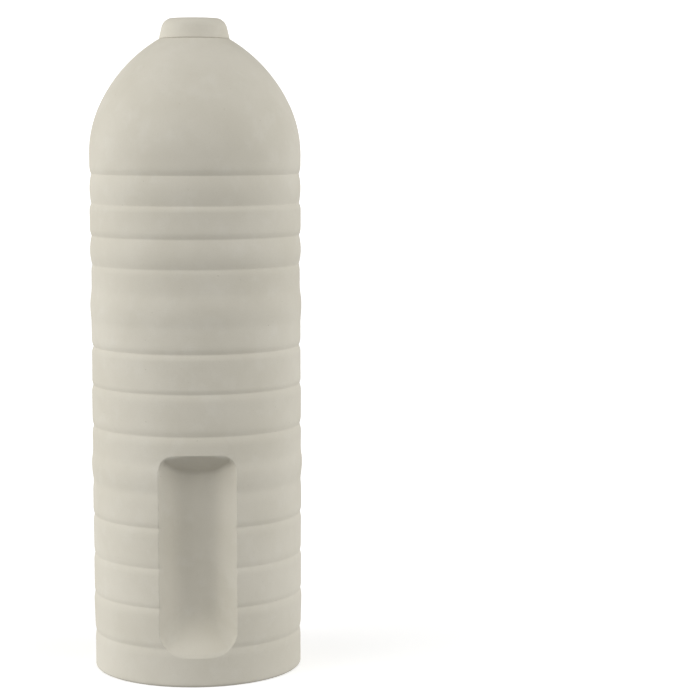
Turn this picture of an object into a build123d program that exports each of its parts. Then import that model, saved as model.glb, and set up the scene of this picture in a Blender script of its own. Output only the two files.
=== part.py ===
from build123d import *
import math
import os

# Plaster mould in two stacked sections: a ribbed barrel with an open mouth in its base, and a domed
# cap that is located on it by three natches and closed at the top by a tapered plug.
# Millimetres. The origin is the centre of the flat base, +Z runs up the axis and -Y faces the
# grip pocket.

# Heights of the whole mould
SPLIT_Z = 165.6  # face where the dome sits on the barrel
LAND_Z = 210.0  # flat land at the dome's apex, on which the plug's head sits
TOP_Z = 216.7

# Ribs of the barrel. Each one stands between two grooves. Its lower flank curves out from the
# groove below to the crest, and its upper flank curves in to the groove above. The crest is a
# straight line, or a single height where both flanks meet on it: (height of the groove below,
# groove radius, crest start, its radius, crest end, its radius).
RIBS = [
    (12.5, 34.30, 14.9, 34.74, 22.9, 34.98),
    (25.7, 34.52, 27.6, 34.86, 36.3, 34.90),
    (38.7, 34.48, 41.5, 34.84, 49.3, 34.90),
    (52.0, 34.48, 54.5, 34.96, 59.5, 34.98),
    (63.3, 34.66, 69.5, 35.30, 69.5, 35.30),
    (72.8, 34.84, 74.5, 34.90, 79.0, 34.97),
    (81.9, 34.42, 84.8, 34.92, 92.8, 34.99),
    (95.6, 34.44, 97.4, 34.86, 106.1, 34.86),
    (108.4, 34.24, 111.0, 34.84, 115.5, 34.88),
    (116.9, 34.82, 121.8, 35.20, 121.8, 35.20),
    (127.2, 34.69, 129.0, 34.69, 133.2, 34.69),
    (135.6, 34.36, 140.4, 35.07, 140.4, 35.07),
    (145.3, 34.48, 147.9, 35.05, 153.8, 35.07),
    (155.8, 34.48, 161.1, 35.00, 161.1, 35.00),
]
SPLIT_R = 34.42  # groove radius at the split, on both sections
SKIRT_START = 168.4  # height where the dome's flank reaches its skirt
SKIRT_R = 35.02
BASE_R = 34.65
BASE_ROUND = 1.0
BASE_CREST_END = 9.5

# Dome outside: a shoulder arc, then a flatter crown arc up to the land
SHOULDER_Z = 172.0
SHOULDER_R = 35.05
SHOULDER_ARC_R = 38.3
SHOULDER_TURN = 24.9  # degrees that the shoulder arc turns in from the vertical
LAND_R = 11.65

# Cavity: a parallel mouth, a drafted barrel wall, and a round crown in the dome
MOUTH_R = 15.0
MOUTH_LENGTH = 24.0
MOUTH_RIM = 1.0
CAVITY_SPLIT_R = 18.0
CAVITY_SHOULDER_Z = 172.0
CAVITY_TOP_Z = 188.0

# Plug: a rounded head on a tapered shank
SHANK_TOP_R = 8.6
SHANK_END_R = 7.2
SHANK_GAP = 0.2
HEAD_SIDE_R = 10.85  # radius where the head's side runs into its rounded top
HEAD_SIDE_Z = 213.7
HEAD_TOP_R = 8.3

# Grip pocket in the front of the barrel: a V-shaped channel with a sloping foot and head
POCKET_DEPTH = 10.3
POCKET_HALF_WIDTH = 12.5
POCKET_FLOOR_HALF_WIDTH = 1.6
POCKET_WALL_ARC_R = 7.0  # joins the floor to the flat part of a wall
POCKET_WALL_SLOPE = 45.0  # degrees from the floor
POCKET_FOOT_Z = 9.9
POCKET_FOOT_RUN = 15.8  # height over which the foot slopes out of the floor
POCKET_FOOT_SLOPE = 42.0  # degrees from the floor
POCKET_FOOT_ARC_R = 11.0
POCKET_FOOT_CORNER = 8.5
POCKET_HEAD_Z = 75.8
POCKET_HEAD_RUN = 7.4
POCKET_HEAD_CORNER = 5.5
POCKET_REACH = 6.0  # how far the cutter stands out in front of the barrel

# Natches: three pegs in the dome and three cups in the barrel
NATCH_COUNT = 3
NATCH_CIRCLE_R = 26.2
NATCH_FIRST_ANGLE = 90.0
NATCH_R = 4.8
NATCH_LENGTH = 8.0
NATCH_SEAT_GAP = 0.02
NATCH_KEY_DEPTH = 0.5  # ring grooves that hold the natch in the plaster
NATCH_KEY_WIDTH = 1.2
NATCH_KEYS = (2.2, 4.8)
PEG_ROOT_R = 3.3
PEG_REACH = 4.2
PEG_TIP_R = 2.9
CUP_CLEARANCE = 0.25
CUP_SINK = 0.1  # the cup sits this far under the split


def revolved(edges):
    """Solid of revolution about the Z axis from a closed outline drawn in the XZ plane."""
    face = Plane.XZ * make_face(Curve() + edges)
    return revolve(face, axis=Axis.Z, revolution_arc=360)


def flank(crest, groove):
    """Side of a rib: it leaves the crest vertically and curves in to the groove."""
    if abs(crest[0] - groove[0]) < 0.005:
        return [Line(crest, groove)]
    return [TangentArc(crest, groove, tangent=(0, groove[1] - crest[1]))]


def rib_edges():
    """Outer side of the barrel from the base's edge up to the split."""
    base_start = (BASE_R - BASE_ROUND, 0)
    base_side = (BASE_R, BASE_ROUND)
    base_crest = (BASE_R, BASE_CREST_END)
    grooves = [(radius, height) for height, radius, *_ in RIBS] + [(SPLIT_R, SPLIT_Z)]
    edges = [TangentArc(base_start, base_side, tangent=(1, 0)), Line(base_side, base_crest)]
    edges += flank(base_crest, grooves[0])
    for index, (_, _, low_z, low_r, high_z, high_r) in enumerate(RIBS):
        edges += flank((low_r, low_z), grooves[index])
        if high_z > low_z:
            edges.append(Line((low_r, low_z), (high_r, high_z)))
        edges += flank((high_r, high_z), grooves[index + 1])
    return edges


def natch_places():
    """Centres of the natches on the split face."""
    places = PolarLocations(NATCH_CIRCLE_R, NATCH_COUNT, start_angle=NATCH_FIRST_ANGLE)
    return [Pos(place.position.X, place.position.Y, SPLIT_Z) for place in places]


def natch_hole():
    return Cylinder(
        NATCH_R + NATCH_SEAT_GAP,
        NATCH_LENGTH + NATCH_SEAT_GAP + CUP_SINK,
        align=(Align.CENTER, Align.CENTER, Align.MIN),
    )


def sloped_edges(floor_end, slope, arc_r, front_y):
    """Edges from the end of the floor by an arc and a straight slope to the front, as (x, y)."""
    angle = math.radians(slope)
    arc_end = (
        floor_end[0] + arc_r * math.sin(angle),
        floor_end[1] - arc_r * (1 - math.cos(angle)),
    )
    front = (arc_end[0] + (arc_end[1] - front_y) / math.tan(angle), front_y)
    return [TangentArc(floor_end, arc_end, tangent=(1, 0)), Line(arc_end, front)]


def pocket_channel():
    """The pocket's section, drawn out along Z."""
    front_y = -(BASE_R + POCKET_REACH)
    floor_y = -(BASE_R - POCKET_DEPTH)
    floor_end = (POCKET_FLOOR_HALF_WIDTH, floor_y)
    edges = sloped_edges(floor_end, POCKET_WALL_SLOPE, POCKET_WALL_ARC_R, front_y)
    edges.append(Line(edges[-1] @ 1, (0, front_y)))
    edges.append(Line((0, front_y), (0, floor_y)))
    edges.append(Line((0, floor_y), floor_end))
    half = make_face(Curve() + edges)
    section = half + mirror(half, about=Plane.YZ)
    return extrude(section, amount=POCKET_HEAD_Z + POCKET_REACH)


def pocket_side():
    """The pocket's side view, drawn out along X."""
    front_y = -(BASE_R + POCKET_REACH)
    floor_y = -(BASE_R - POCKET_DEPTH)
    floor_end = (-POCKET_FOOT_Z - POCKET_FOOT_RUN, floor_y)
    head_back = (POCKET_HEAD_RUN - POCKET_HEAD_Z, floor_y)
    head_front = (-POCKET_HEAD_Z - POCKET_REACH * POCKET_HEAD_RUN / POCKET_DEPTH, front_y)
    edges = sloped_edges(floor_end, POCKET_FOOT_SLOPE, POCKET_FOOT_ARC_R, front_y)
    edges.append(Line(edges[-1] @ 1, head_front))
    edges.append(Line(head_front, head_back))
    edges.append(Line(head_back, floor_end))
    side_view = Plane(origin=(0, 0, 0), x_dir=(0, 0, -1), z_dir=(1, 0, 0))
    face = side_view * make_face(Curve() + edges)
    return extrude(face, amount=BASE_R, both=True)


def pocket_front():
    """The pocket's front view, a rectangle with rounded corners drawn out along Y."""
    middle_z = (POCKET_HEAD_Z + POCKET_FOOT_Z) / 2
    length = POCKET_HEAD_Z - POCKET_FOOT_Z
    block = Pos(0, -BASE_R, middle_z) * Box(2 * POCKET_HALF_WIDTH, BASE_R, length)
    corners = block.edges().filter_by(Axis.Y).group_by(Axis.Z)
    block = fillet(corners[-1], POCKET_HEAD_CORNER)
    corners = block.edges().filter_by(Axis.Y).group_by(Axis.Z)
    return fillet(corners[0], POCKET_FOOT_CORNER)


def grip_pocket():
    """Cutter for the grip pocket, the common part of its three views."""
    return pocket_channel() & pocket_side() & pocket_front()


def ribbed_barrel():
    rim_face = (MOUTH_R + MOUTH_RIM, 0)
    rim_wall = (MOUTH_R, MOUTH_RIM)
    mouth_end = (MOUTH_R, MOUTH_LENGTH)
    cavity_top = (CAVITY_SPLIT_R, SPLIT_Z)
    edges = rib_edges()
    edges.append(Line((SPLIT_R, SPLIT_Z), cavity_top))
    edges.append(Line(cavity_top, mouth_end))
    edges.append(Line(mouth_end, rim_wall))
    edges.append(TangentArc(rim_wall, rim_face, tangent=(0, -1)))
    edges.append(Line(rim_face, (BASE_R - BASE_ROUND, 0)))
    barrel = revolved(edges) - grip_pocket()
    for place in natch_places():
        hole = Pos(0, 0, -NATCH_LENGTH - NATCH_SEAT_GAP - CUP_SINK) * natch_hole()
        barrel -= place * hole
    return barrel


def dome():
    skirt_start = (SPLIT_R, SPLIT_Z)
    skirt = (SKIRT_R, SKIRT_START)
    shoulder_start = (SHOULDER_R, SHOULDER_Z)
    turn = math.radians(SHOULDER_TURN)
    centre_r = SHOULDER_R - SHOULDER_ARC_R
    shoulder_end = (
        centre_r + SHOULDER_ARC_R * math.cos(turn),
        SHOULDER_Z + SHOULDER_ARC_R * math.sin(turn),
    )
    land_outer = (LAND_R, LAND_Z)
    land_inner = (SHANK_TOP_R + SHANK_GAP, LAND_Z)
    crown = (SHANK_END_R + SHANK_GAP, CAVITY_TOP_Z)
    cavity_shoulder = (CAVITY_SPLIT_R, CAVITY_SHOULDER_Z)
    cavity_start = (CAVITY_SPLIT_R, SPLIT_Z)
    edges = [
        TangentArc(skirt, skirt_start, tangent=(0, -1)),
        Line(skirt, shoulder_start),
        TangentArc(shoulder_start, shoulder_end, tangent=(0, 1)),
        TangentArc(shoulder_end, land_outer, tangent=(-math.sin(turn), math.cos(turn))),
        Line(land_outer, land_inner),
        Line(land_inner, crown),
        TangentArc(cavity_shoulder, crown, tangent=(0, 1)),
        Line(cavity_shoulder, cavity_start),
        Line(cavity_start, skirt_start),
    ]
    cap = revolved(edges)
    for place in natch_places():
        cap -= place * natch_hole()
    return cap


def neck_plug():
    """Plug with a tapered shank, a flat seat under the head and a rounded top edge."""
    head_base = (LAND_R, LAND_Z)
    head_side = (HEAD_SIDE_R, HEAD_SIDE_Z)
    head_top = (HEAD_TOP_R, TOP_Z)
    shank_top = (SHANK_TOP_R, LAND_Z)
    shank_end = (SHANK_END_R, CAVITY_TOP_Z)
    lean = (HEAD_SIDE_R - LAND_R, HEAD_SIDE_Z - LAND_Z)
    edges = [
        Line((0, CAVITY_TOP_Z), shank_end),
        Line(shank_end, shank_top),
        Line(shank_top, head_base),
        Line(head_base, head_side),
        TangentArc(head_side, head_top, tangent=lean),
        Line(head_top, (0, TOP_Z)),
        Line((0, TOP_Z), (0, CAVITY_TOP_Z)),
    ]
    return revolved(edges)


def natch_body(sign):
    """Cylinder with two key grooves, from the split in the direction of sign along Z."""
    body = Pos(0, 0, sign * NATCH_LENGTH / 2) * Cylinder(NATCH_R, NATCH_LENGTH)
    ring = Cylinder(NATCH_R, NATCH_KEY_WIDTH) - Cylinder(NATCH_R - NATCH_KEY_DEPTH, NATCH_KEY_WIDTH)
    for height in NATCH_KEYS:
        body -= Pos(0, 0, sign * height) * ring
    return body


def peg_nose(extra_r, extra_reach):
    """Round-ended nose that points down from the split, grown by the two allowances."""
    root_r = PEG_ROOT_R + extra_r
    tip_r = PEG_TIP_R + extra_r
    reach = PEG_REACH + extra_reach
    shoulder = (tip_r, tip_r - reach)
    edges = [
        Line((0, 0), (root_r, 0)),
        Line((root_r, 0), shoulder),
        RadiusArc(shoulder, (0, -reach), tip_r),
        Line((0, -reach), (0, 0)),
    ]
    return revolved(edges)


def natch_peg():
    return natch_body(1) + peg_nose(0, 0)


def natch_cup():
    return Pos(0, 0, -CUP_SINK) * (natch_body(-1) - peg_nose(CUP_CLEARANCE, CUP_CLEARANCE))


def main():
    os.makedirs("parts", exist_ok=True)
    nodes = {"ribbed_barrel": ribbed_barrel(), "dome": dome(), "neck_plug": neck_plug()}
    for number, place in enumerate(natch_places(), start=1):
        nodes[f"natch_peg_{number}"] = place * natch_peg()
        nodes[f"natch_cup_{number}"] = place * natch_cup()
    for name, shape in nodes.items():
        export_step(shape, f"parts/{name}.step")
        print(name, len(shape.solids()), round(shape.volume))


main()
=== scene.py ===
import bpy
import bmesh
import math
import numpy as np
from mathutils import Euler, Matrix, Vector, geometry, noise


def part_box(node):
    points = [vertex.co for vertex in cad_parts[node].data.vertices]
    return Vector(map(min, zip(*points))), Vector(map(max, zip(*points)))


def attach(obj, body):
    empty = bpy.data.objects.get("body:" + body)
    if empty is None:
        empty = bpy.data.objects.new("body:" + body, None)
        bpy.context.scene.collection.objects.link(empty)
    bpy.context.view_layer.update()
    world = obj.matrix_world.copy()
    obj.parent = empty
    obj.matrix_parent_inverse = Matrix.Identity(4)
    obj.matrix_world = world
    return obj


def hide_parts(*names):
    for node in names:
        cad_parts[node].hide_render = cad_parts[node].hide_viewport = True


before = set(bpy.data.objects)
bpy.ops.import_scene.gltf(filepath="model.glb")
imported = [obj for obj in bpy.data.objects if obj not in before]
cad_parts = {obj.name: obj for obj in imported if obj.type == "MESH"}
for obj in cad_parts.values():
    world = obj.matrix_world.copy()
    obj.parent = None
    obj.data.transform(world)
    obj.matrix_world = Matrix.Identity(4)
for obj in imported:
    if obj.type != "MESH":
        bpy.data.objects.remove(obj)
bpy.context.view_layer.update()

MM = 0.001
FULL_TURN = 2 * math.pi

# Everything below is in millimetres unless it says otherwise, in the frame of the CAD model.
# Angles round the axis start at the front (-Y) and grow towards +X.
TOP_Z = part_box("neck_plug")[1][2] / MM
SPLIT_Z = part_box("ribbed_barrel")[1][2] / MM
LAND_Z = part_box("dome")[1][2] / MM
CAVITY_TOP_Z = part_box("neck_plug")[0][2] / MM

# Spread of the bell curve that rounds a groove
CRISP = 0.10
SOFT = 0.90

# Ribs: (height of the groove below, groove radius, softness of the groove,
#        crest start, radius there, crest end, radius there)
RIBS = [
    (12.5, 34.30, CRISP, 14.9, 34.74, 22.9, 34.98),
    (25.7, 34.52, CRISP, 27.6, 34.86, 36.3, 34.90),
    (38.7, 34.48, CRISP, 41.5, 34.84, 49.3, 34.90),
    (52.0, 34.48, CRISP, 54.5, 34.96, 59.5, 34.98),
    (63.3, 34.66, SOFT, 69.5, 35.30, 69.5, 35.30),
    (72.8, 34.84, SOFT, 74.5, 34.90, 79.0, 34.97),
    (81.9, 34.42, CRISP, 84.8, 34.92, 92.8, 34.99),
    (95.6, 34.44, CRISP, 97.4, 34.86, 106.1, 34.86),
    (108.4, 34.24, CRISP, 111.0, 34.84, 115.5, 34.88),
    (116.9, 34.82, SOFT, 121.8, 35.20, 121.8, 35.20),
    (127.2, 34.69, SOFT, 129.0, 34.69, 133.2, 34.69),
    (135.6, 34.36, CRISP, 140.4, 35.07, 140.4, 35.07),
    (145.3, 34.48, CRISP, 147.9, 35.05, 153.8, 35.07),
    (155.8, 34.48, CRISP, 161.1, 35.00, 161.1, 35.00),
]
SPLIT_R = 34.42  # groove radius at the split between the barrel and the dome
SKIRT_START = 168.4  # height where the dome's flank reaches its skirt
SKIRT_R = 35.02
BASE_R = 34.65
BASE_ROUND = 1.0
BASE_CREST_END = 9.5

# Dome outside: a shoulder arc, then a flatter crown arc up to the land under the plug's head
SHOULDER_Z = 172.0
SHOULDER_R = 35.05
SHOULDER_ARC_R = 38.3
SHOULDER_TURN = math.radians(24.9)
LAND_R = 11.65

# Inside: the mouth, the cavity, and the plug with its hole
MOUTH_R = 15.0
MOUTH_LENGTH = 24.0
MOUTH_RIM = 1.0
CAVITY_SPLIT_R = 18.0
CAVITY_SHOULDER_Z = 172.0
SHANK_TOP_R = 8.6
SHANK_END_R = 7.2
SHANK_GAP = 0.2
HEAD_SIDE_R = 10.85
HEAD_SIDE_Z = 213.7
HEAD_TOP_R = 8.3

# Grip pocket: a floor between sloped walls, with a sloped foot and a steep head
POCKET_HALF_WIDTH = 12.5
POCKET_FLOOR_HALF_WIDTH = 1.6
POCKET_WALL_ARC_R = 7.0
POCKET_WALL_SLOPE = math.radians(45)
POCKET_DEPTH = 10.3
POCKET_FLOOR_Y = -(BASE_R - POCKET_DEPTH)
POCKET_FOOT_Z = 9.9
POCKET_FOOT_RUN = 15.8
POCKET_FOOT_SLOPE = math.radians(42)
POCKET_FOOT_ARC_R = 11.0
POCKET_FOOT_CORNER = 8.5
POCKET_HEAD_Z = 75.8
POCKET_HEAD_RUN = 7.4
POCKET_HEAD_CORNER = 5.5

# Natches: each is a peg in the dome and a cup in the barrel
NATCH_COUNT = 3
NATCH_CIRCLE_R = 26.2
NATCH_R = 4.8
NATCH_LENGTH = 8.0
PEG_ROOT_R = 3.3
PEG_TIP_R = 2.9
PEG_REACH = 4.2
CUP_CLEARANCE = 0.25
CUP_SINK = 0.1

EASE = 0.3  # rounding of edges that CAD leaves sharp
SHARP_ANGLE = math.radians(38)
WAVER = 0.035  # how far the cast surface strays from a true circle
WAVER_ROUND = 1.6  # radius of the surface's circle through the noise
WAVER_HEIGHT = 22.0  # height that passes through one unit of the noise


# ---------------------------------------------------------------- shape of the outside

def flank_radius(z, groove_z, groove_r, crest_z, crest_r):
    """Radius on a rib's side, which leaves the crest smoothly and meets the groove at an angle."""
    away = (z - crest_z) / (groove_z - crest_z)
    return crest_r - (crest_r - groove_r) * away ** 2


def rib_radius(z):
    """Radius of the side at a height, before its grooves are softened."""
    ribs = [(0.0, BASE_R, CRISP, 0.0, BASE_R, BASE_CREST_END, BASE_R)] + RIBS
    grooves_above = [rib[:2] for rib in RIBS] + [(SPLIT_Z, SPLIT_R)]
    for rib, groove_above in zip(ribs, grooves_above):
        if z <= groove_above[0]:
            groove_z, groove_r, _, start_z, start_r, end_z, end_r = rib
            if z < start_z:
                return flank_radius(z, groove_z, groove_r, start_z, start_r)
            if z > end_z:
                return flank_radius(z, *groove_above, end_z, end_r)
            along = (z - start_z) / max(end_z - start_z, 1e-9)
            return start_r + (end_r - start_r) * along
    return dome_radius(z)


def dome_radius(z):
    """Radius of the dome's outside: a flared skirt, a shoulder arc and a flatter crown arc."""
    if z < SKIRT_START:
        return flank_radius(z, SPLIT_Z, SPLIT_R, SKIRT_START, SKIRT_R)
    if z < SHOULDER_Z:
        return SKIRT_R + (SHOULDER_R - SKIRT_R) * (z - SKIRT_START) / (SHOULDER_Z - SKIRT_START)
    shoulder_end_z = SHOULDER_Z + SHOULDER_ARC_R * math.sin(SHOULDER_TURN)
    centre_r = SHOULDER_R - SHOULDER_ARC_R
    if z < shoulder_end_z:
        return centre_r + math.sqrt(SHOULDER_ARC_R ** 2 - (z - SHOULDER_Z) ** 2)
    end_r = centre_r + SHOULDER_ARC_R * math.cos(SHOULDER_TURN)
    chord = math.hypot(LAND_R - end_r, LAND_Z - shoulder_end_z)
    chord_angle = math.atan2(end_r - LAND_R, LAND_Z - shoulder_end_z)
    crown_r = chord / (2 * math.sin(chord_angle - SHOULDER_TURN))
    crown_centre_r = end_r - crown_r * math.cos(SHOULDER_TURN)
    crown_centre_z = shoulder_end_z - crown_r * math.sin(SHOULDER_TURN)
    return crown_centre_r + math.sqrt(max(0.0, crown_r ** 2 - (z - crown_centre_z) ** 2))


FINE_STEP = 0.02  # spacing of the side's sampled radii
SOFT_REACH = 3.0  # how far from a soft groove its softness reaches
ROW_COARSE = 0.8
ROW_FINE = 0.28
ROW_NEAR = 1.7  # how near to a groove the rows are fine


def blurred(values, spread):
    """Values sampled every FINE_STEP, smoothed by a bell curve of the given spread."""
    offsets = np.arange(-4 * spread, 4 * spread, FINE_STEP)
    weights = np.exp(-0.5 * (offsets / spread) ** 2)
    half = len(weights) // 2
    padded = np.pad(values, half, mode="edge")
    return np.convolve(padded, weights / weights.sum(), mode="same")[half:half + len(values)]


fine_z = np.arange(0.0, LAND_Z + FINE_STEP, FINE_STEP)
sharp_r = np.array([rib_radius(z) for z in fine_z])
softness = np.zeros(len(fine_z))
for rib in RIBS:
    if rib[2] == SOFT:
        softness = np.maximum(softness, np.exp(-((fine_z - rib[0]) / SOFT_REACH) ** 4))
fine_r = blurred(sharp_r, CRISP) * (1 - softness) + blurred(sharp_r, SOFT) * softness


def outer_radius(z, angle):
    """Radius of the finished outside, with the slight unevenness of a cast surface."""
    base = float(np.interp(z, fine_z, fine_r))
    place = Vector((math.sin(angle) * WAVER_ROUND, math.cos(angle) * WAVER_ROUND, z / WAVER_HEIGHT))
    return base + WAVER * noise.noise(place)


def polar(radius, z, angle):
    """Point at an angle round the axis."""
    return (radius * math.sin(angle), -radius * math.cos(angle), z)


def outer_point(z, angle):
    """Point of the finished outside."""
    return polar(outer_radius(z, angle), z, angle)


def row_heights(start, end):
    """Heights from start to end, packed closely round each groove."""
    grooves = [rib[0] for rib in RIBS] + [SPLIT_Z]
    heights = [start]
    while heights[-1] < end:
        here = heights[-1]
        close = any(groove - ROW_NEAR - ROW_COARSE < here < groove + ROW_NEAR for groove in grooves)
        heights.append(here + (ROW_FINE if close else ROW_COARSE))
    heights[-1] = end
    if heights[-1] - heights[-2] < ROW_FINE / 2:
        heights.pop(-2)
    return heights


# ---------------------------------------------------------------- mesh helpers

ON_AXIS = 1e-6  # a radius below this is a point on the axis
SAME_CORNER = 1e-5
WITHIN_RING = 0.999  # share of the inner radius that still counts as outside the hole
WELD = 2e-7  # metres


def arc(centre_r, centre_z, radius, first, last, count):
    """Points on an arc in the (radius, height) plane, angles in degrees from +R towards +Z."""
    angles = np.radians(np.linspace(first, last, count))
    return [(centre_r + radius * math.cos(a), centre_z + radius * math.sin(a)) for a in angles]


def tangent_arc(start, end, heading, count):
    """Points of the arc that leaves start along heading (degrees from +R towards +Z) and ends at end."""
    run, rise = end[0] - start[0], end[1] - start[1]
    chord = math.hypot(run, rise)
    half_turn = math.atan2(rise, run) - math.radians(heading)
    half_turn = (half_turn + math.pi) % FULL_TURN - math.pi
    radius = chord / (2 * math.sin(half_turn))
    left = math.radians(heading) + math.pi / 2
    centre = (start[0] + radius * math.cos(left), start[1] + radius * math.sin(left))
    points = []
    for share in np.linspace(0, 1, count):
        turn = left + math.pi + 2 * half_turn * share
        points.append((centre[0] + radius * math.cos(turn), centre[1] + radius * math.sin(turn)))
    return points


def straight(start, end, count):
    """Evenly spaced points on a straight line in the (radius, height) plane, both ends included."""
    run, rise = end[0] - start[0], end[1] - start[1]
    return [(start[0] + run * share, start[1] + rise * share) for share in np.linspace(0, 1, count)]


def turns(count):
    """Evenly spaced angles of one full turn."""
    return list(np.linspace(0, FULL_TURN, count, endpoint=False))


class Shell:
    """A mesh under construction, whose points are given in millimetres."""

    def __init__(self):
        self.bm = bmesh.new()

    def point(self, place):
        """Adds a point."""
        return self.bm.verts.new(Vector(place) * MM)

    def face(self, corners):
        """Adds a face, unless its corners fall together."""
        distinct = list(dict.fromkeys(corners))
        if len(distinct) > 2:
            self.bm.faces.new(distinct)

    def strip(self, lower, upper, closed=True):
        """Quads between two rows of points."""
        count = len(lower)
        for i in range(count if closed else count - 1):
            j = (i + 1) % count
            self.face([lower[i], lower[j], upper[j], upper[i]])

    def ring(self, radius, z, angles):
        """Adds a circle of points, or one point on the axis."""
        if radius < ON_AXIS:
            tip = self.point((0, 0, z))
            return [tip] * len(angles)
        return [self.point(polar(radius, z, a)) for a in angles]

    def lathe(self, profile, angles):
        """Turns a profile of (radius, height) points, and returns its first and last rings."""
        rings = [self.ring(radius, z, angles) for radius, z in profile]
        for lower, upper in zip(rings, rings[1:]):
            self.strip(lower, upper)
        return rings[0], rings[-1]

    def flat_face(self, outer, inner, holes):
        """Fills a flat ring that has round holes, each given as (centre, its ring of points)."""
        rings = [outer, inner] + [ring for _, ring in holes]
        corners = [v for ring in rings for v in ring]
        start, edges = 0, []
        for ring in rings:
            count = len(ring)
            edges += [(start + i, start + (i + 1) % count) for i in range(count)]
            start += count
        flat = [v.co.xy / MM for v in corners]
        result = geometry.delaunay_2d_cdt(flat, edges, [], 0, SAME_CORNER)
        places, faces, sources = result[0], result[2], result[3]
        inner_r = min(place.length for place in flat)
        for face in faces:
            middle = sum((places[i] for i in face), Vector((0, 0))) / len(face)
            in_hole = any((middle - centre).length < NATCH_R for centre, _ in holes)
            if middle.length > inner_r * WITHIN_RING and not in_hole:
                self.face([corners[sources[i][0]] for i in face])

    def finish(self, name, material, body, replaced):
        """Turns the mesh into an object that rides its body and replaces its solid."""
        bmesh.ops.remove_doubles(self.bm, verts=self.bm.verts, dist=WELD)
        bmesh.ops.recalc_face_normals(self.bm, faces=self.bm.faces)
        for face in self.bm.faces:
            face.smooth = True
        mesh = bpy.data.meshes.new(name)
        self.bm.to_mesh(mesh)
        self.bm.free()
        mesh.set_sharp_from_angle(angle=SHARP_ANGLE)
        mesh.materials.append(material)
        piece = bpy.data.objects.new(name, mesh)
        bpy.context.scene.collection.objects.link(piece)
        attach(piece, body)
        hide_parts(replaced)
        return piece


# ---------------------------------------------------------------- grip pocket

# The window is the part of the barrel's front that has the pocket in it and a mesh of its own.
WINDOW_ANGLE = math.radians(31)
WINDOW_LOW = 6.0
WINDOW_HIGH = 79.0
WINDOW_COLUMNS = 46

# Rounding of the rim, at the pocket's ends and at its sides
END_ROUND = 1.0
SIDE_ROUND = 1.2
END_ROUND_REACH = 5.0  # half width over which the rim has its end rounding
SIDE_ROUND_START = 10.0  # half width from which it has its side rounding

# Rounding between the pocket's surfaces
HEAD_BLEND = 1.6
FOOT_BLEND = 4.0
WALL_BLEND = 0.8
OUTLINE_STEEPNESS = 3.0

# Rows of the window's mesh, from its border to the rim and from the rim to the core
OUTSIDE_ROWS = 36
OUTSIDE_CROWDING = 1.5  # above 1, the rows draw together at the rim
RIM_SHARE = 0.22
RIM_ROWS = 11
INSIDE_ROWS = 26
CORE_CORNER = 0.6
CORE_DROP = 1.5  # how far the core's top is below the end of the head's slope

# The rim's rows keep the window's heights this far from the upper corner, the window's top and the
# lower corner, and are squeezed together nearer to them
STEADY_UPPER = 6.0
STEADY_TOP = 8.0
STEADY_LOWER = 12.0


def soft_least(first, second, reach):
    """The smaller of two heights, blended where they differ by less than reach."""
    overlap = max(reach - abs(first - second), 0.0) / reach
    return min(first, second) - overlap * overlap * reach / 4


def soft_most(first, second, reach):
    """The larger of two heights, blended like soft_least."""
    return -soft_least(-first, -second, reach)


def slope_rise(run, slope, arc_r):
    """Height of a slope that leaves the floor by an arc."""
    if run <= 0:
        return 0.0
    arc_run = arc_r * math.sin(slope)
    if run < arc_run:
        return arc_r - math.sqrt(arc_r ** 2 - run ** 2)
    return arc_r * (1 - math.cos(slope)) + (run - arc_run) * math.tan(slope)


def past_outline(x, z):
    """Distance from the pocket's outline, negative inside it."""
    if z > (POCKET_HEAD_Z + POCKET_FOOT_Z) / 2:
        corner, past_end = POCKET_HEAD_CORNER, z - POCKET_HEAD_Z
    else:
        corner, past_end = POCKET_FOOT_CORNER, POCKET_FOOT_Z - z
    across = abs(x) - POCKET_HALF_WIDTH + corner
    along = past_end + corner
    return math.hypot(max(across, 0.0), max(along, 0.0)) + min(max(across, along), 0.0) - corner


def pocket_rise(x, z, depth):
    """Height of the pocket's surface above its floor, where the outside is depth above it."""
    sides = slope_rise(abs(x) - POCKET_FLOOR_HALF_WIDTH, POCKET_WALL_SLOPE, POCKET_WALL_ARC_R)
    foot = slope_rise(POCKET_FOOT_Z + POCKET_FOOT_RUN - z, POCKET_FOOT_SLOPE, POCKET_FOOT_ARC_R)
    head = (z - POCKET_HEAD_Z) * POCKET_DEPTH / POCKET_HEAD_RUN + POCKET_DEPTH
    wall = depth + past_outline(x, z) * OUTLINE_STEEPNESS
    rise = soft_most(sides, foot, FOOT_BLEND)
    rise = soft_most(rise, head, HEAD_BLEND)
    return soft_most(rise, wall, WALL_BLEND)


def front_point(x, z, angle):
    """Point of the front at a place: on the outside, or in the pocket with a rounded rim."""
    outside = outer_point(z, angle)
    x = outside[0] if x is None else x
    depth = POCKET_FLOOR_Y - outside[1]
    aside = (abs(x) - END_ROUND_REACH) / (SIDE_ROUND_START - END_ROUND_REACH)
    aside = min(max(aside, 0.0), 1.0)
    rounding = END_ROUND + (SIDE_ROUND - END_ROUND) * aside * aside * (3 - 2 * aside)
    return (x, POCKET_FLOOR_Y - soft_least(depth, pocket_rise(x, z, depth), rounding), z)


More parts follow.
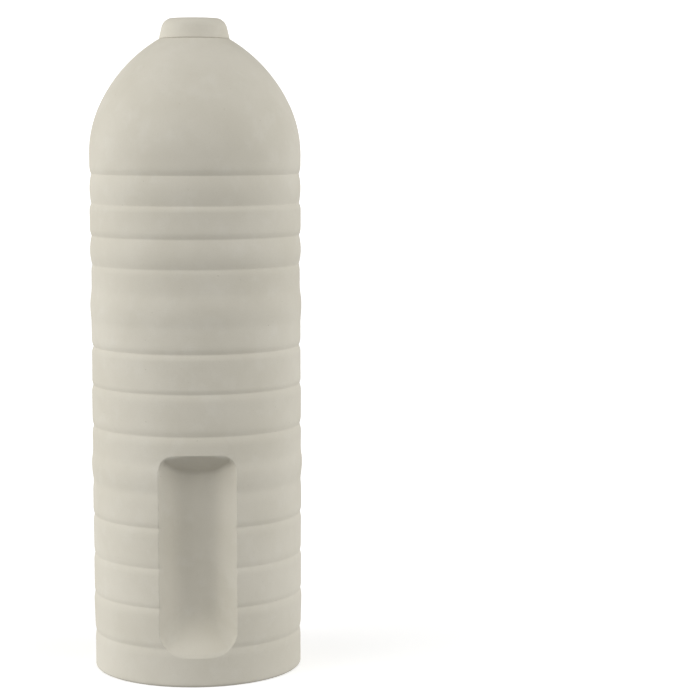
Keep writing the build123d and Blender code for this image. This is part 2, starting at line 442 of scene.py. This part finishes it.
def outline(half_width, head_corner, foot_corner, head_z, foot_z, heights):
    """Rounded rectangle as (x, z) points, numbered like the window's border."""
    top_reach = half_width - head_corner + head_corner * math.pi / 4
    foot_reach = half_width - foot_corner + foot_corner * math.pi / 4

    def capped(s, corner, edge_z, inward):
        """Point at a distance s along an end from its middle, with the corners turned in."""
        flat = half_width - corner
        if abs(s) <= flat:
            return (s, edge_z)
        turn = (abs(s) - flat) / corner
        return (math.copysign(flat + corner * math.sin(turn), s),
                edge_z + inward * corner * (1 - math.cos(turn)))

    top_side = [capped(s, head_corner, head_z, -1)
                for s in np.linspace(-top_reach, top_reach, WINDOW_COLUMNS + 1)]
    foot_side = [capped(s, foot_corner, foot_z, 1)
                 for s in np.linspace(foot_reach, -foot_reach, WINDOW_COLUMNS + 1)]
    first_z, last_z = top_side[-1][1], foot_side[0][1]
    steady_high = min(first_z - STEADY_UPPER, heights[0] - STEADY_TOP)
    steady_low = last_z + STEADY_LOWER
    side = []
    for z in heights:
        if z > steady_high:
            z = steady_high + (z - steady_high) * (first_z - steady_high) / (heights[0] - steady_high)
        elif z < steady_low:
            z = steady_low - (steady_low - z) * (steady_low - last_z) / (steady_low - heights[-1])
        x = half_width
        if z > head_z - head_corner:
            x += math.sqrt(max(0.0, head_corner ** 2 - (z - head_z + head_corner) ** 2)) - head_corner
        elif z < foot_z + foot_corner:
            x += math.sqrt(max(0.0, foot_corner ** 2 - (foot_z + foot_corner - z) ** 2)) - foot_corner
        side.append((x, z))
    left = [(-x, z) for x, z in reversed(side)]
    return top_side[:-1] + side[:-1] + foot_side[:-1] + left[:-1]


def window_edge(heights):
    """The window's border as (angle, height) points, in the outline's order."""
    angles = np.linspace(-WINDOW_ANGLE, WINDOW_ANGLE, WINDOW_COLUMNS + 1)
    top_side = [(a, heights[0]) for a in angles]
    side = [(WINDOW_ANGLE, z) for z in heights]
    foot = [(a, heights[-1]) for a in reversed(angles)]
    left = [(-WINDOW_ANGLE, z) for z in reversed(heights)]
    return top_side[:-1] + side[:-1] + foot[:-1] + left[:-1]


def surface_angle(x, z):
    """Angle at which the outside has the given x."""
    angle = math.asin(x / outer_radius(z, 0))
    return math.asin(x / outer_radius(z, angle))


def grip_pocket(shell, heights):
    """The front window of the barrel, from its border over the rim and down into the pocket."""
    rim = outline(POCKET_HALF_WIDTH, POCKET_HEAD_CORNER, POCKET_FOOT_CORNER,
                  POCKET_HEAD_Z, POCKET_FOOT_Z, heights)
    core = outline(POCKET_FLOOR_HALF_WIDTH, CORE_CORNER, CORE_CORNER,
                   POCKET_HEAD_Z - POCKET_HEAD_RUN - CORE_DROP, POCKET_FOOT_Z + POCKET_FOOT_RUN, heights)
    border = window_edge(heights)
    outside_shares = [1 - (1 - share) ** OUTSIDE_CROWDING for share in np.linspace(0, 1, OUTSIDE_ROWS)]
    inside_shares = list(np.linspace(0, RIM_SHARE, RIM_ROWS))[1:]
    inside_shares += list(np.linspace(RIM_SHARE, 1, INSIDE_ROWS))[1:]
    rows = [[] for _ in outside_shares + inside_shares]
    for edge, inner, (border_angle, border_z) in zip(rim, core, border):
        edge_angle = surface_angle(*edge)
        path = []
        for share in outside_shares:
            angle = border_angle + (edge_angle - border_angle) * share
            height = border_z + (edge[1] - border_z) * share
            path.append(front_point(None, height, angle))
        for share in inside_shares:
            x = edge[0] + (inner[0] - edge[0]) * share
            z = edge[1] + (inner[1] - edge[1]) * share
            path.append(front_point(x, z, surface_angle(x, z)))
        for row, place in zip(rows, path):
            row.append(shell.point(place))
    for lower, upper in zip(rows, rows[1:]):
        shell.strip(lower, upper)
    pocket_floor(shell, rows[-1], len(heights) - 1)


def pocket_floor(shell, ring, side_count):
    """Fills the middle of the floor with a grid stretched between the four sides of its ring."""
    columns = WINDOW_COLUMNS
    top = ring[:columns + 1]
    right = ring[columns:columns + side_count + 1]
    bottom = list(reversed(ring[columns + side_count:2 * columns + side_count + 1]))
    left = [ring[0]] + list(reversed(ring[2 * columns + side_count:]))
    grid = [top]
    for k in range(1, side_count):
        down = k / side_count
        row = [left[k]]
        for j in range(1, columns):
            across = j / columns
            place = (left[k].co * (1 - across) + right[k].co * across
                     + top[j].co * (1 - down) + bottom[j].co * down
                     - top[0].co * (1 - across) * (1 - down) - top[-1].co * across * (1 - down)
                     - bottom[0].co * (1 - across) * down - bottom[-1].co * across * down)
            row.append(shell.bm.verts.new(place))
        grid.append(row + [right[k]])
    grid.append(bottom)
    for upper, lower in zip(grid, grid[1:]):
        shell.strip(lower, upper, closed=False)


# ---------------------------------------------------------------- castings

BARREL_BACK_COLUMNS = 130  # columns of the barrel outside the window
DOME_COLUMNS = 180
PLUG_COLUMNS = 96
NATCH_COLUMNS = 56
SEAT_COLUMNS = 48
SPLIT_EDGE_INSET = 0.5  # width of the split face's outermost ring
SHANK_EASE = 0.4  # rounding of the plug's tip and of the ends of its hole
HEAD_EASE = 0.3  # rounding under the plug's head

# Seat of a natch in the split face: (room round the natch, depth)
SEAT_STEPS = [(0.5, 0), (0.22, 0), (0.05, 0.17), (0.03, 0.5), (0.02, NATCH_LENGTH + CUP_SINK)]


def natch_centres():
    """Centres of the natches, the first at the back (+Y)."""
    first = math.radians(90)
    angles = [first + FULL_TURN * i / NATCH_COUNT for i in range(NATCH_COUNT)]
    return [Vector((math.cos(a), math.sin(a))) * NATCH_CIRCLE_R for a in angles]


def natch_holes(shell, direction):
    """Sunk seats for the natches in the split face, as (centre, ring) for the face's fill."""
    holes = []
    for centre in natch_centres():
        rings = []
        for room, depth in SEAT_STEPS:
            radius, z = NATCH_R + room, SPLIT_Z + direction * depth
            ring = [shell.point((centre.x + radius * math.cos(t), centre.y + radius * math.sin(t), z))
                    for t in turns(SEAT_COLUMNS)]
            rings.append(ring)
        for lower, upper in zip(rings, rings[1:]):
            shell.strip(lower, upper)
        end = shell.point((centre.x, centre.y, SPLIT_Z + direction * (NATCH_LENGTH + CUP_SINK)))
        shell.strip(rings[-1], [end] * SEAT_COLUMNS)
        holes.append((centre, rings[0]))
    return holes


def ribbed_barrel(material):
    """The barrel: its ribbed outside with the grip pocket, its base, its cavity and its split face."""
    shell = Shell()
    window = list(np.linspace(-WINDOW_ANGLE, WINDOW_ANGLE, WINDOW_COLUMNS + 1))
    back = list(np.linspace(WINDOW_ANGLE, FULL_TURN - WINDOW_ANGLE, BARREL_BACK_COLUMNS + 1))
    angles = window + back[1:-1]
    foot = row_heights(BASE_ROUND, WINDOW_LOW)
    middle = row_heights(WINDOW_LOW, WINDOW_HIGH)
    upper = row_heights(WINDOW_HIGH, SPLIT_Z)
    rings = []
    for share in np.linspace(0, math.pi / 2, 9)[:-1]:
        ring = []
        for angle in angles:
            side = outer_radius(BASE_ROUND, angle)
            radius = side - BASE_ROUND * (1 - math.sin(share))
            ring.append(shell.point(polar(radius, BASE_ROUND * (1 - math.cos(share)), angle)))
        rings.append(ring)
    heights = foot[:-1] + middle[:-1] + upper
    for z in heights:
        rings.append([shell.point(outer_point(z, angle)) for angle in angles])
    window_top = len(rings) - len(upper)
    window_foot = window_top - len(middle) + 1
    for number, (lower, higher) in enumerate(zip(rings, rings[1:])):
        if window_foot <= number < window_top:
            lower = lower[WINDOW_COLUMNS:] + lower[:1]
            higher = higher[WINDOW_COLUMNS:] + higher[:1]
            shell.strip(lower, higher, closed=False)
        else:
            shell.strip(lower, higher)
    inside_window = [v for ring in rings for v in ring if not v.link_faces]
    bmesh.ops.delete(shell.bm, geom=inside_window, context="VERTS")
    grip_pocket(shell, list(reversed(middle)))

    edge = shell.ring(SPLIT_R - SPLIT_EDGE_INSET, SPLIT_Z, angles)
    shell.strip(rings[-1], edge)
    cavity = [(CAVITY_SPLIT_R + 2 * EASE, SPLIT_Z), (CAVITY_SPLIT_R + EASE, SPLIT_Z)]
    cavity += arc(CAVITY_SPLIT_R + EASE, SPLIT_Z - EASE, EASE, 90, 180, 5)[1:]
    cavity += straight((CAVITY_SPLIT_R, SPLIT_Z - EASE), (MOUTH_R, MOUTH_LENGTH), 24)[1:]
    cavity += straight((MOUTH_R, MOUTH_LENGTH), (MOUTH_R, MOUTH_RIM), 8)[1:]
    cavity += arc(MOUTH_R + MOUTH_RIM, MOUTH_RIM, MOUTH_RIM, 180, 270, 8)[1:]
    cavity += straight((MOUTH_R + MOUTH_RIM, 0), (BASE_R - BASE_ROUND, 0), 8)[1:-1]
    inner, base = shell.lathe(cavity, angles)
    shell.strip(base, rings[0])
    shell.flat_face(edge, inner, natch_holes(shell, -1))
    return shell.finish("ribbed_barrel_cast", material, "barrel", "ribbed_barrel")


def dome(material):
    """The dome: its outside, the plug's tapered hole, its hollow and its split face."""
    shell = Shell()
    angles = turns(DOME_COLUMNS)
    skirt = row_heights(SPLIT_Z, SHOULDER_Z)
    rise = list(SHOULDER_Z + (LAND_Z - SHOULDER_Z) * np.sin(np.linspace(0, math.pi / 2, 60)))
    rings = [[shell.point(outer_point(z, angle)) for angle in angles] for z in skirt + rise[1:-1]]
    for lower, higher in zip(rings, rings[1:]):
        shell.strip(lower, higher)
    hole_top_r, hole_end_r = SHANK_TOP_R + SHANK_GAP, SHANK_END_R + SHANK_GAP
    land_inset = LAND_R - 0.6
    inside = [(LAND_R + 0.12, LAND_Z - 0.1), (LAND_R - 0.1, LAND_Z)]
    inside += straight((land_inset, LAND_Z), (hole_top_r + SHANK_EASE, LAND_Z), 4)
    inside.append((hole_top_r + 0.1, LAND_Z - 0.05))
    inside += straight((hole_top_r, LAND_Z - SHANK_EASE), (hole_end_r, CAVITY_TOP_Z + SHANK_EASE), 12)
    hollow = tangent_arc((CAVITY_SPLIT_R, CAVITY_SHOULDER_Z), (hole_end_r, CAVITY_TOP_Z), 90, 20)
    inside += [(hole_end_r + 0.12, CAVITY_TOP_Z + 0.05)] + list(reversed(hollow))[1:]
    inside += straight((CAVITY_SPLIT_R, CAVITY_SHOULDER_Z), (CAVITY_SPLIT_R, SPLIT_Z + EASE), 6)[1:]
    inside += arc(CAVITY_SPLIT_R + EASE, SPLIT_Z + EASE, EASE, 180, 270, 5)[1:]
    inside.append((CAVITY_SPLIT_R + 2 * EASE, SPLIT_Z))
    first, inner = shell.lathe(inside, angles)
    shell.strip(rings[-1], first)
    edge = shell.ring(SPLIT_R - SPLIT_EDGE_INSET, SPLIT_Z, angles)
    shell.strip(edge, rings[0])
    shell.flat_face(edge, inner, natch_holes(shell, 1))
    return shell.finish("dome_cast", material, "dome_section", "dome")


def neck_plug(material):
    """The plug: a tapered shank under a small rounded head."""
    shell = Shell()
    lean = math.degrees(math.atan2(HEAD_SIDE_Z - LAND_Z, HEAD_SIDE_R - LAND_R))
    crown = tangent_arc((HEAD_SIDE_R, HEAD_SIDE_Z), (HEAD_TOP_R, TOP_Z - 0.05), lean, 14)
    profile = [(r, CAVITY_TOP_Z) for r in (0.0, 2.5, 5.5, 6.6)]
    profile += arc(SHANK_END_R - SHANK_EASE, CAVITY_TOP_Z + SHANK_EASE, SHANK_EASE, -90, 0, 6)
    shank_top = (SHANK_TOP_R, LAND_Z - SHANK_EASE)
    profile += straight((SHANK_END_R, CAVITY_TOP_Z + SHANK_EASE), shank_top, 12)[1:]
    profile += [(SHANK_TOP_R + 0.1, LAND_Z - 0.1), (SHANK_TOP_R + SHANK_EASE, LAND_Z)]
    profile.append((LAND_R - 0.7, LAND_Z))
    profile += arc(LAND_R - HEAD_EASE, LAND_Z + HEAD_EASE, HEAD_EASE, -90, 0, 6)
    profile += straight((LAND_R - 0.05, LAND_Z + 0.5), (HEAD_SIDE_R, HEAD_SIDE_Z), 6)
    profile += crown[1:]
    profile += [(HEAD_TOP_R - 0.25, TOP_Z - 0.01), (HEAD_TOP_R - 0.6, TOP_Z)]
    profile += [(r, TOP_Z) for r in (6.0, 4.0, 2.0, 0.0)]
    shell.lathe(profile, turns(PLUG_COLUMNS))
    return shell.finish("neck_plug_cast", material, "plug", "neck_plug")


# ---------------------------------------------------------------- natches

# Key grooves that hold a natch in the plaster
NATCH_KEYS = (2.2, 4.8)
NATCH_KEY_WIDTH = 1.2
NATCH_KEY_DEPTH = 0.5


def keyed_side(direction, start_z):
    """Side of a natch with its two key grooves, from the split towards its buried end."""
    points = [(NATCH_R - 0.25, 0), (NATCH_R, 0.25)]
    for middle in NATCH_KEYS:
        low, high = middle - NATCH_KEY_WIDTH / 2, middle + NATCH_KEY_WIDTH / 2
        sunk = NATCH_R - NATCH_KEY_DEPTH
        points += [(NATCH_R, low - 0.1), (NATCH_R - 0.1, low), (sunk, low + 0.1)]
        points += [(sunk, high - 0.1), (NATCH_R - 0.1, high), (NATCH_R, high + 0.1)]
    points += [(NATCH_R, NATCH_LENGTH - 0.5), (NATCH_R - 0.15, NATCH_LENGTH - 0.15)]
    points += [(NATCH_R - 0.5, NATCH_LENGTH), (2.0, NATCH_LENGTH), (0, NATCH_LENGTH)]
    return [(radius, start_z + direction * depth) for radius, depth in points]


def nose(extra, start_z):
    """Half outline of the peg's nose or the cup's recess, from its root to its tip."""
    root, tip = PEG_ROOT_R + extra, PEG_TIP_R + extra
    reach = PEG_REACH + extra
    points = [(root + 0.25, start_z), (root + 0.05, start_z - 0.08), (root - 0.02, start_z - 0.3)]
    points += arc(0, start_z - reach + tip, tip, 0, -90, 14)
    return points


def natches(material):
    """The pegs in the dome and the cups in the barrel."""
    for number, centre in enumerate(natch_centres(), start=1):
        peg = list(reversed(nose(0, SPLIT_Z))) + keyed_side(1, SPLIT_Z)
        cup_z = SPLIT_Z - CUP_SINK
        cup = list(reversed(nose(CUP_CLEARANCE, cup_z))) + keyed_side(-1, cup_z)
        for kind, profile, body in (("peg", peg, "dome_section"), ("cup", cup, "barrel")):
            shell = Shell()
            shell.lathe(profile, turns(NATCH_COLUMNS))
            offset = Vector((centre.x, centre.y, 0)) * MM
            bmesh.ops.translate(shell.bm, verts=shell.bm.verts, vec=offset)
            node = f"natch_{kind}_{number}"
            shell.finish(f"{node}_moulded", material, body, node)


# ---------------------------------------------------------------- materials

def new_material(name):
    """A new material with its node tree, its shader and its object coordinates."""
    material = bpy.data.materials.new(name)
    material.use_nodes = True
    tree = material.node_tree
    shader = tree.nodes["Principled BSDF"]
    place = tree.nodes.new("ShaderNodeTexCoord").outputs["Object"]
    return material, tree, shader, place


def add_noise(tree, place, scale, detail, roughness=0.5, stretch=None):
    """A noise texture's value at a place, stretched if asked."""
    if stretch:
        mapping = tree.nodes.new("ShaderNodeMapping")
        mapping.inputs["Scale"].default_value = stretch
        tree.links.new(place, mapping.inputs["Vector"])
        place = mapping.outputs["Vector"]
    node = tree.nodes.new("ShaderNodeTexNoise")
    node.inputs["Scale"].default_value = scale
    node.inputs["Detail"].default_value = detail
    node.inputs["Roughness"].default_value = roughness
    tree.links.new(place, node.inputs["Vector"])
    return node.outputs["Fac"]


def remap(tree, value, low, high, to_low, to_high):
    """A value brought from one range to another."""
    node = tree.nodes.new("ShaderNodeMapRange")
    node.inputs["From Min"].default_value = low
    node.inputs["From Max"].default_value = high
    node.inputs["To Min"].default_value = to_low
    node.inputs["To Max"].default_value = to_high
    tree.links.new(value, node.inputs["Value"])
    return node.outputs["Result"]


def combine(tree, operation, first, second):
    """A sum, product or other operation of two values."""
    node = tree.nodes.new("ShaderNodeMath")
    node.operation = operation
    for socket, value in zip(node.inputs, (first, second)):
        if isinstance(value, (int, float)):
            socket.default_value = value
        else:
            tree.links.new(value, socket)
    return node.outputs["Value"]


def mix_colour(tree, factor, first, second):
    """A mix of two colours, all first where the factor is 0."""
    node = tree.nodes.new("ShaderNodeMix")
    node.data_type = "RGBA"
    tree.links.new(factor, node.inputs["Factor"])
    for socket, value in ((node.inputs[6], first), (node.inputs[7], second)):
        if isinstance(value, tuple):
            socket.default_value = value
        else:
            tree.links.new(value, socket)
    return node.outputs[2]


def add_bump(tree, height, distance, strength, before=None):
    """A bump on top of the one before it."""
    node = tree.nodes.new("ShaderNodeBump")
    node.inputs["Distance"].default_value = distance
    node.inputs["Strength"].default_value = strength
    tree.links.new(height, node.inputs["Height"])
    if before is not None:
        tree.links.new(before, node.inputs["Normal"])
    return node.outputs["Normal"]


def pinholes(tree, place, scale, size, rarity):
    """1 inside a few tiny round air holes, 0 elsewhere."""
    cells = tree.nodes.new("ShaderNodeTexVoronoi")
    cells.inputs["Scale"].default_value = scale
    tree.links.new(place, cells.inputs["Vector"])
    inside = remap(tree, cells.outputs["Distance"], size, size * 0.55, 0, 1)
    split = tree.nodes.new("ShaderNodeSeparateColor")
    tree.links.new(cells.outputs["Color"], split.inputs["Color"])
    chosen = combine(tree, "GREATER_THAN", split.outputs["Red"], rarity)
    return combine(tree, "MULTIPLY", inside, chosen)


def plaster_material():
    """Dry, matt, off-white plaster with faint mottling, scuffs at the foot, and pinholes painted darker
    as painted shade inside them.
    """
    material, tree, shader, place = new_material("plaster")
    light = (0.600, 0.570, 0.490, 1)
    deep = (0.560, 0.530, 0.448, 1)
    pale = (0.655, 0.635, 0.570, 1)
    # Dark colour for dust specks and scuffs, also used as painted shade inside the pinholes
    dust_and_pit_shade = (0.42, 0.39, 0.32, 1)
    mottle = add_noise(tree, place, 42, 4, 0.55)
    colour = mix_colour(tree, remap(tree, mottle, 0.35, 0.65, 0, 1), light, deep)
    bloom = add_noise(tree, place, 160, 5, 0.6)
    colour = mix_colour(tree, remap(tree, bloom, 0.52, 0.78, 0, 0.35), colour, pale)
    speckle = add_noise(tree, place, 2600, 2, 0.5)
    colour = mix_colour(tree, remap(tree, speckle, 0.55, 0.85, 0, 0.22), colour, dust_and_pit_shade)
    axes = tree.nodes.new("ShaderNodeSeparateXYZ")
    tree.links.new(place, axes.inputs["Vector"])
    near_base = remap(tree, axes.outputs["Z"], 0.0, 0.002, 0.5, 0)
    scuffs = combine(tree, "MULTIPLY", near_base, remap(tree, bloom, 0.4, 0.7, 0.1, 1))
    colour = mix_colour(tree, scuffs, colour, dust_and_pit_shade)
    holes = pinholes(tree, place, 430, 0.10, 0.93)
    # The pinholes are painted darker: painted shade inside the tiny holes
    colour = mix_colour(tree, combine(tree, "MULTIPLY", holes, 0.5), colour, dust_and_pit_shade)
    tree.links.new(colour, shader.inputs["Base Color"])
    rough = remap(tree, bloom, 0.3, 0.7, 0.70, 0.84)
    tree.links.new(rough, shader.inputs["Roughness"])
    shader.inputs["Specular IOR Level"].default_value = 0.35
    tooling = add_noise(tree, place, 1.0, 3, 0.55, stretch=(60, 60, 1400))
    grain = add_noise(tree, place, 3200, 3, 0.6)
    swell = add_noise(tree, place, 110, 2, 0.5)
    normal = add_bump(tree, swell, 0.00012, 0.35)
    normal = add_bump(tree, tooling, 0.00003, 0.35, normal)
    normal = add_bump(tree, grain, 0.00003, 0.45, normal)
    pits = combine(tree, "SUBTRACT", 1.0, holes)
    normal = add_bump(tree, pits, 0.0001, 0.7, normal)
    tree.links.new(normal, shader.inputs["Normal"])
    return material


def natch_material():
    """Grey-green moulded plastic with a little plaster left on it."""
    material, tree, shader, place = new_material("natch_plastic")
    cloud = add_noise(tree, place, 300, 3, 0.5)
    colour = mix_colour(tree, remap(tree, cloud, 0.35, 0.65, 0, 1),
                        (0.56, 0.57, 0.54, 1), (0.51, 0.52, 0.49, 1))
    residue = add_noise(tree, place, 900, 4, 0.6)
    colour = mix_colour(tree, remap(tree, residue, 0.6, 0.8, 0, 0.6), colour, (0.66, 0.64, 0.58, 1))
    tree.links.new(colour, shader.inputs["Base Color"])
    tree.links.new(remap(tree, residue, 0.4, 0.75, 0.38, 0.65), shader.inputs["Roughness"])
    skin = add_noise(tree, place, 2200, 2, 0.5)
    tree.links.new(add_bump(tree, skin, 0.00003, 0.4), shader.inputs["Normal"])
    return material


def floor_material():
    """Pale paper that glows slightly, so that it meets the background."""
    material, tree, shader, place = new_material("studio_floor")
    wash = add_noise(tree, place, 3, 2)
    colour = mix_colour(tree, wash, (0.86, 0.86, 0.855, 1), (0.88, 0.88, 0.875, 1))
    tree.links.new(colour, shader.inputs["Base Color"])
    shader.inputs["Roughness"].default_value = 0.9
    shader.inputs["Specular IOR Level"].default_value = 0.2
    shader.inputs["Emission Color"].default_value = (1, 1, 1, 1)
    shader.inputs["Emission Strength"].default_value = FLOOR_GLOW
    return material


# ---------------------------------------------------------------- studio

# Soft lights: (azimuth from the front towards +X, elevation, tightness, strength)
LIGHTS = [
    (-95, 5, 8, 0.60),
    (-75, 28, 8, 1.30),
    (-75, 0, 8, 1.15),
    (-55, 30, 8, 1.15),
    (-55, 0, 8, 0.40),
    (35, 30, 8, 0.22),
    (35, 0, 8, 0.10),
    (55, 33, 8, 1.05),
    (55, 0, 8, 0.20),
    (75, 28, 8, 0.95),
    (75, 0, 8, 0.75),
    (95, 0, 8, 0.50),
    (-125, -8, 4, 0.85),
    (125, -8, 4, 0.80),
]
AMBIENT = 0.18
FLOOR_GLOW = 0.42

CAMERA_LENS = 109.6
CAMERA_SENSOR = 36.0
CAMERA_PLACE = (0, -0.713, 0.1794)  # metres
CAMERA_PITCH = math.radians(5.84)  # downwards
CAMERA_YAW = math.radians(4.14)  # to the right


def studio_floor():
    """A round pale floor whose edge sweeps up into a low wall, so that no horizon shows."""
    bm = bmesh.new()
    flat_r, sweep_r, wall_z, count = 2.2, 0.8, 2.4, 96
    profile = [(0.0, 0.0), (0.3, 0.0), (1.2, 0.0), (flat_r, 0.0)]
    for turn in np.linspace(0, math.pi / 2, 13)[1:]:
        profile.append((flat_r + sweep_r * math.sin(turn), sweep_r * (1 - math.cos(turn))))
    profile.append((flat_r + sweep_r, wall_z))
    rings = []
    for radius, z in profile:
        if radius == 0:
            rings.append([bm.verts.new((0, 0, z))] * count)
        else:
            rings.append([bm.verts.new((radius * math.cos(t), radius * math.sin(t), z))
                          for t in turns(count)])
    for lower, upper in zip(rings, rings[1:]):
        for i in range(count):
            j = (i + 1) % count
            bm.faces.new(list(dict.fromkeys([lower[i], lower[j], upper[j], upper[i]])))
    for face in bm.faces:
        face.smooth = True
    mesh = bpy.data.meshes.new("studio_floor")
    bm.to_mesh(mesh)
    bm.free()
    mesh.materials.append(floor_material())
    floor = bpy.data.objects.new("studio_floor", mesh)
    bpy.context.scene.collection.objects.link(floor)
    floor.visible_diffuse = False
    floor.visible_glossy = False
    floor.visible_shadow = False


def studio_light():
    """A light tent: two big soft boxes at the sides, a bright back, and a dimmer, darker-footed front."""
    world = bpy.data.worlds.new("studio")
    world.use_nodes = True
    tree = world.node_tree
    direction = tree.nodes.new("ShaderNodeTexCoord").outputs["Generated"]
    total = AMBIENT
    for azimuth, elevation, tightness, strength in LIGHTS:
        turn, rise = math.radians(azimuth), math.radians(elevation)
        facing = tree.nodes.new("ShaderNodeVectorMath")
        facing.operation = "DOT_PRODUCT"
        tree.links.new(direction, facing.inputs[0])
        facing.inputs[1].default_value = (math.cos(rise) * math.sin(turn),
                                          -math.cos(rise) * math.cos(turn), math.sin(rise))
        glow = combine(tree, "MAXIMUM", facing.outputs["Value"], 0.0)
        glow = combine(tree, "POWER", glow, tightness)
        total = combine(tree, "ADD", total, combine(tree, "MULTIPLY", glow, strength))
    tree.links.new(total, tree.nodes["Background"].inputs["Strength"])
    tree.nodes["Background"].inputs["Color"].default_value = (1, 1, 1, 1)
    bpy.context.scene.world = world
    bpy.context.scene.view_settings.view_transform = "Standard"


def studio_camera():
    """Long lens in front, a little above the dome's foot, aimed right of the mould and slightly down."""
    lens = bpy.data.cameras.new("camera")
    lens.sensor_width = CAMERA_SENSOR
    lens.lens = CAMERA_LENS
    camera = bpy.data.objects.new("camera", lens)
    camera.location = CAMERA_PLACE
    camera.rotation_euler = Euler((math.pi / 2 - CAMERA_PITCH, 0, -CAMERA_YAW))
    bpy.context.scene.collection.objects.link(camera)
    bpy.context.scene.camera = camera


studio_camera()
studio_light()
studio_floor()
plaster = plaster_material()
ribbed_barrel(plaster)
dome(plaster)
neck_plug(plaster)
natches(natch_material())
